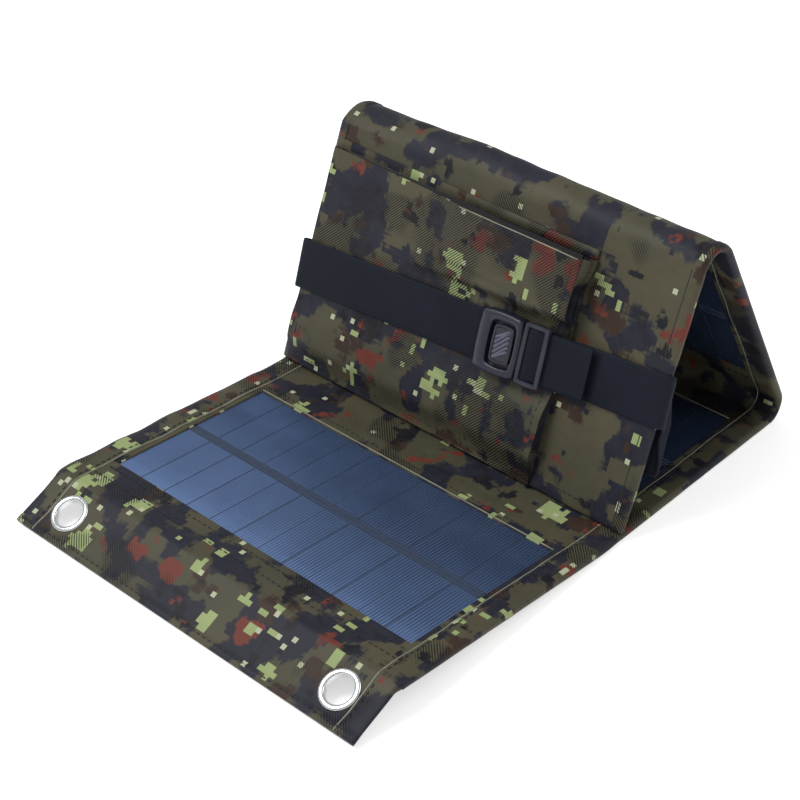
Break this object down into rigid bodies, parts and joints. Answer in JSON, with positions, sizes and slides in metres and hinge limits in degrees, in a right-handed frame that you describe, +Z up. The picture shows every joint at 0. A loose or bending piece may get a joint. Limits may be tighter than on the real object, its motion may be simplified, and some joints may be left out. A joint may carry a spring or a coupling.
{
  "type": "folding solar panel",
  "caption": "Folding camping solar panel in camouflage cloth, standing as a tent, with hanging eyelets, a back pocket holding a USB regulator, and a buckled strap.",
  "frame": {"origin": "centre of the underside of leaf B, the leaf that lies flat on the ground", "axes": "+X along the fold lines, to the right as seen from the front; +Y from the hanging flap to the tent's rear fold; +Z up"},
  "size_m": [0.221, 0.2993, 0.1264],
  "materials": {
    "camo_cloth": "digital camouflage twill",
    "stiffener_board": "pressed board",
    "cell_backing": "dark backing sheet",
    "solar_cell": "blue silicon under a clear layer",
    "cell_ribbon": "tinned copper",
    "clear_film": "clear satin film",
    "binding_tape": "woven tape in camouflage colours",
    "cable_sheath": "flat flexible cable",
    "eyelet_metal": "bright nickel",
    "closure_tape": "hook and loop",
    "housing_plastic": "fine moulded texture",
    "circuit_board": "solder mask",
    "ferrite": "dark ferrite",
    "socket_metal": "pressed steel",
    "light_lens": "clear lens",
    "webbing": "ribbed webbing",
    "buckle_plastic": "moulded acetal",
    "button_plastic": "moulded acetal with raised ribs",
    "spring_steel": "spring strip"
  },
  "bodies": {
    "leaf_b": {"leaf_b_back_cloth": "camo_cloth", "leaf_b_stiffener": "stiffener_board", "leaf_b_laminate": "cell_backing", "leaf_b_cells": "solar_cell", "leaf_b_ribbons": "cell_ribbon", "leaf_b_film": "clear_film", "leaf_b_front_frame": "camo_cloth", "leaf_b_binding": "binding_tape", "gusset_ab": "camo_cloth", "gusset_bc": "camo_cloth", "link_cable_ab": "cable_sheath", "link_cable_bc": "cable_sheath"},
    "leaf_a": {"leaf_a_back_cloth": "camo_cloth", "leaf_a_stiffener": "stiffener_board", "leaf_a_laminate": "cell_backing", "leaf_a_cells": "solar_cell", "leaf_a_ribbons": "cell_ribbon", "leaf_a_film": "clear_film", "leaf_a_front_frame": "camo_cloth", "leaf_a_binding": "binding_tape", "front_seam": "camo_cloth", "flap_gusset": "camo_cloth"},
    "flap": {"flap_cloth": "camo_cloth", "eyelet_barrels": "eyelet_metal", "eyelet_washers": "eyelet_metal"},
    "leaf_c": {"leaf_c_back_cloth": "camo_cloth", "leaf_c_stiffener": "stiffener_board", "leaf_c_laminate": "cell_backing", "leaf_c_cells": "solar_cell", "leaf_c_ribbons": "cell_ribbon", "leaf_c_film": "clear_film", "leaf_c_front_frame": "camo_cloth", "leaf_c_binding": "binding_tape", "gusset_cd": "camo_cloth", "link_cable_cd": "cable_sheath"},
    "leaf_d": {"leaf_d_back_cloth": "camo_cloth", "leaf_d_stiffener": "stiffener_board", "leaf_d_laminate": "cell_backing", "leaf_d_cells": "solar_cell", "leaf_d_ribbons": "cell_ribbon", "leaf_d_film": "clear_film", "leaf_d_front_frame": "camo_cloth", "leaf_d_binding": "binding_tape", "pocket_panel": "camo_cloth", "pocket_sides": "camo_cloth", "pocket_back_lip": "camo_cloth", "pocket_hook_tape": "closure_tape", "pocket_loop_tape": "closure_tape", "regulator_base": "housing_plastic", "regulator_lid": "housing_plastic", "regulator_board": "circuit_board", "regulator_coil": "ferrite", "usb_sockets": "socket_metal", "status_light": "light_lens", "webbing_strap": "webbing", "buckle_socket": "buckle_plastic", "button_spring": "spring_steel"},
    "release_button": {"release_button": "button_plastic"},
    "buckle_tongue": {"buckle_tongue": "buckle_plastic"}
  },
  "joints": [
    {"name": "fold_ab", "type": "hinge", "parent": "leaf_b", "child": "leaf_a", "pos_m": [0, -0.06725, 0.00157], "axis": [-1, 0, 0], "range_deg": [-5.2, 100], "deforming": ["gusset_ab", "link_cable_ab"]},
    {"name": "fold_bc", "type": "hinge", "parent": "leaf_b", "child": "leaf_c", "pos_m": [0, 0.068, 0.00458], "axis": [1, 0, 0], "range_deg": [-117.6, 0], "deforming": ["gusset_bc", "link_cable_bc"]},
    {"name": "fold_cd", "type": "hinge", "parent": "leaf_c", "child": "leaf_d", "pos_m": [0, 0.00135, 0.12772], "axis": [1, 0, 0], "range_deg": [-129.3, 0], "deforming": ["gusset_cd", "link_cable_cd"]},
    {"name": "flap_fold", "type": "hinge", "parent": "leaf_a", "child": "flap", "pos_m": [0, -0.20397, 0.01366], "axis": [1, 0, 0], "range_deg": [-32.2, 95], "deforming": ["flap_gusset"]},
    {"name": "button_press", "type": "slide", "parent": "leaf_d", "child": "release_button", "axis": [0, 0.9198, -0.3923], "range_m": [0, 0.0014], "stiffness_N_per_m": 400, "deforming": ["button_spring"]},
    {"name": "buckle_slide", "type": "slide", "parent": "leaf_d", "child": "buckle_tongue", "axis": [0.9979, 0.0253, 0.0594], "range_m": [0, 0.016], "deforming": ["webbing_strap"]}
  ]
}
